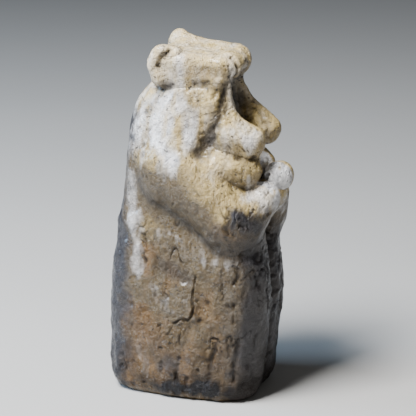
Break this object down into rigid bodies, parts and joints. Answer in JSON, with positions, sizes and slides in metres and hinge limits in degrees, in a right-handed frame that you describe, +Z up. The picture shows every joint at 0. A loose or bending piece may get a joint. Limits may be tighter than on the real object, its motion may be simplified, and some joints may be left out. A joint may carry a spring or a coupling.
{
  "type": "fertility figure",
  "caption": "Small standing clay figure with a block skirt, arms folded under its breasts and a flat-topped animal head. It stands on its flat base.",
  "frame": {"origin": "middle of the flat base that the figure stands on", "axes": "+Z is up, the figure faces -Y, and its own left hand is on +X"},
  "size_m": [0.0438, 0.063, 0.1218],
  "materials": {
    "ochre_clay": "hand-smoothed and waxed, satin",
    "cream_clay": "hand-smoothed slip, satin with glossy spots",
    "smoked_clay": "smoke-stained grey, satin"
  },
  "bodies": {
    "root": {"body_core": "ochre_clay", "head": "cream_clay", "snout": "cream_clay", "right_ear": "cream_clay", "left_ear": "cream_clay", "right_neck_roll": "smoked_clay", "left_neck_roll": "smoked_clay", "right_upper_arm": "ochre_clay", "left_upper_arm": "ochre_clay", "right_forearm": "ochre_clay", "left_forearm": "ochre_clay", "right_hand": "cream_clay", "left_hand": "cream_clay", "right_breast": "cream_clay", "left_breast": "cream_clay", "right_belly_fold": "cream_clay", "left_belly_fold": "cream_clay", "right_leg": "smoked_clay", "left_leg": "smoked_clay"}
  },
  "joints": []
}
